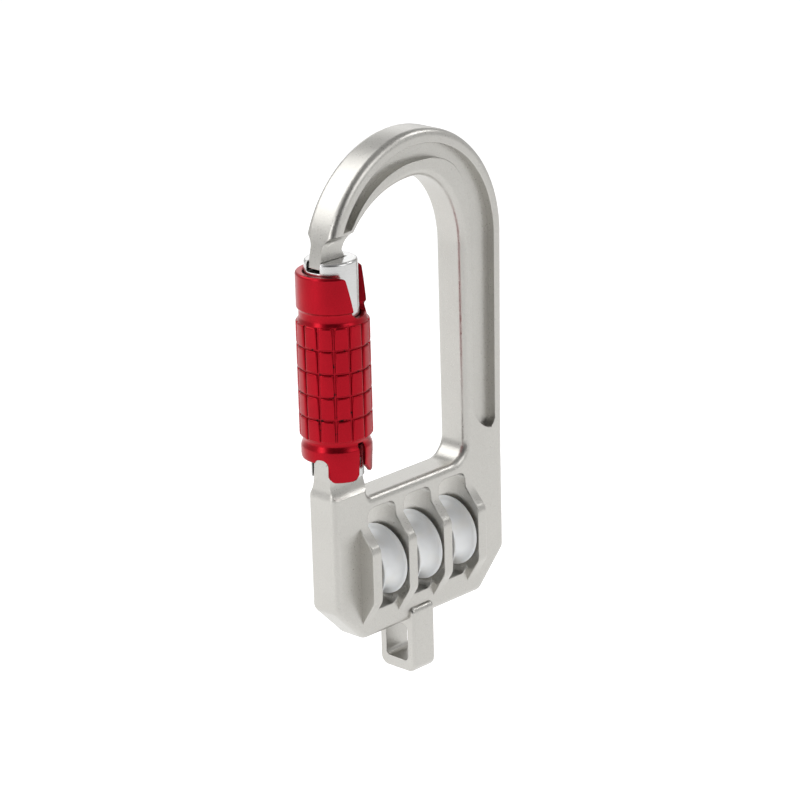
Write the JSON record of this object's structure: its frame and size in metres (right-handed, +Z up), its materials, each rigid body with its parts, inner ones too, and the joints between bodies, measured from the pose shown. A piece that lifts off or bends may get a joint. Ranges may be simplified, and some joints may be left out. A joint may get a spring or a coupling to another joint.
{
  "type": "rope pulley",
  "caption": "Rigging pulley: a flat alloy body with rope sheaves side by side on one axle, a becket eye below, and a grooved bow closed by a hinged gate with a red lock sleeve.",
  "frame": {"origin": "on the inner side of the bow's crown, straight above the becket, where the pulley hangs", "axes": "+X from the gate towards the spine, along the sheaves' axle; +Y towards the back; +Z up towards the bow"},
  "size_m": [0.0619, 0.0174, 0.132],
  "materials": {
    "body_alloy": "satin, fine bead-blasted and clear anodised",
    "gate_alloy": "fine turned and polished",
    "red_anodised": "red anodised, satin",
    "white_acetal": "turned white acetal",
    "steel": "ground stainless steel",
    "spring_steel": "drawn spring wire",
    "bronze": "sintered bronze, oiled"
  },
  "bodies": {
    "frame": {"frame_body": "body_alloy", "sheave_axle": "steel", "axle_plug": "steel", "gate_hinge_pin": "steel", "thrust_washer_1": "steel", "thrust_washer_2": "steel", "thrust_washer_3": "steel", "thrust_washer_4": "steel", "thrust_washer_5": "steel", "thrust_washer_6": "steel"},
    "gate": {"gate_barrel": "gate_alloy", "guide_key": "steel", "gate_spring": "spring_steel", "sleeve_spring": "spring_steel"},
    "plunger": {"gate_plunger": "steel"},
    "carrier": {"sleeve_guide_ring": "bronze"},
    "sleeve": {"lock_sleeve": "red_anodised", "sleeve_retaining_ring": "spring_steel"},
    "sheave_left": {"sheave_1": "white_acetal", "sheave_bush_1": "bronze"},
    "sheave_middle": {"sheave_2": "white_acetal", "sheave_bush_2": "bronze"},
    "sheave_right": {"sheave_3": "white_acetal", "sheave_bush_3": "bronze"}
  },
  "joints": [
    {"name": "gate_hinge", "type": "hinge", "parent": "frame", "child": "gate", "pos_m": [-0.02173, 0, -0.0622], "axis": [0, 1, 0], "range_deg": [0, 24], "stiffness_Nm_per_rad": 0.06, "springref_deg": -34.38},
    {"name": "plunger_slide", "type": "slide", "parent": "gate", "child": "plunger", "axis": [0, 0, 1], "range_m": [0, 0.0005], "deforming": ["gate_spring"]},
    {"name": "sleeve_pull", "type": "slide", "parent": "gate", "child": "carrier", "axis": [0, 0, -1], "range_m": [0, 0.002], "stiffness_N_per_m": 600, "springref_m": -0.008, "deforming": ["sleeve_spring"]},
    {"name": "sleeve_twist", "type": "hinge", "parent": "carrier", "child": "sleeve", "pos_m": [-0.02173, 0, -0.0425], "axis": [0, 0, -1], "range_deg": [0, 117], "stiffness_Nm_per_rad": 0.02, "springref_deg": -28.65},
    {"name": "sheave_left_spin", "type": "hinge", "parent": "frame", "child": "sheave_left", "pos_m": [-0.01214, 0, -0.0912], "axis": [1, 0, 0], "continuous": true},
    {"name": "sheave_middle_spin", "type": "hinge", "parent": "frame", "child": "sheave_middle", "pos_m": [0, 0, -0.0912], "axis": [1, 0, 0], "continuous": true},
    {"name": "sheave_right_spin", "type": "hinge", "parent": "frame", "child": "sheave_right", "pos_m": [0.01214, 0, -0.0912], "axis": [1, 0, 0], "continuous": true}
  ],
  "couplings": [
    {"joint": "plunger_slide", "follows": "gate_hinge", "m_per_rad": 0.0011}
  ]
}
